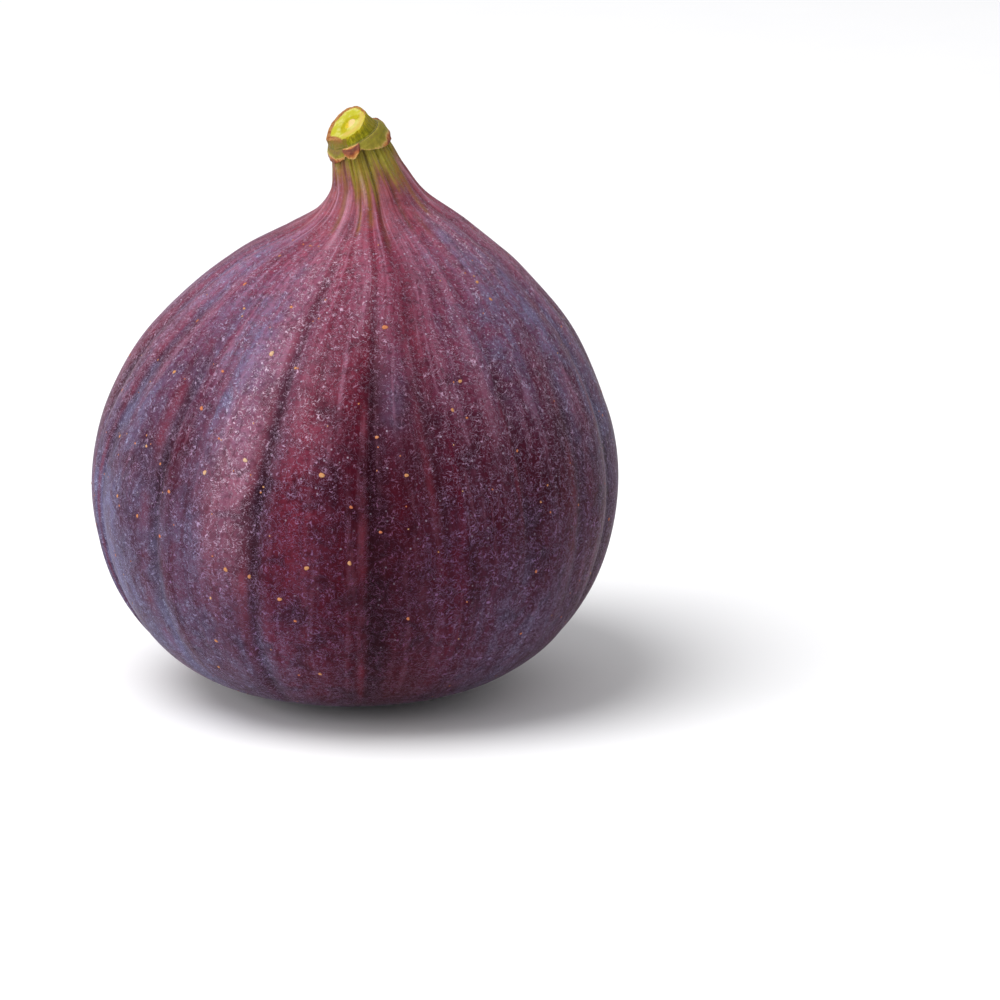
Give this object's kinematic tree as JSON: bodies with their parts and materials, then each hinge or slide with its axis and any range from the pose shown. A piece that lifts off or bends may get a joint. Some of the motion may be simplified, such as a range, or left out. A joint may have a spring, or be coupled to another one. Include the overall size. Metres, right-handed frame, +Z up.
{
  "type": "fresh fig",
  "caption": "Whole ripe purple fig with a ribbed skin, a slim neck, a cut green stem with small dry bracts, and a scaly eye underneath; stands upright on its base.",
  "frame": {"origin": "on the surface that the fruit stands on, under the middle of its belly", "axes": "+Z up from the eye to the stem; -Y is the front, where the neck leans forward; the stem leans to -X"},
  "size_m": [0.0569, 0.057, 0.0641],
  "materials": {
    "skin": "thin purple fruit skin with a pale waxy bloom, fine flecks and tan dots; green on the neck",
    "stem": "fresh green stalk, cut face yellow-green with a brown rim and a pale pith",
    "bracts": "olive-green scale leaves drying to tan and red-brown at their edges",
    "eye_scales": "small dry red-brown scales"
  },
  "bodies": {
    "root": {"fruit": "skin", "stem": "stem", "bracts": "bracts", "eye_scales": "eye_scales"}
  },
  "joints": []
}
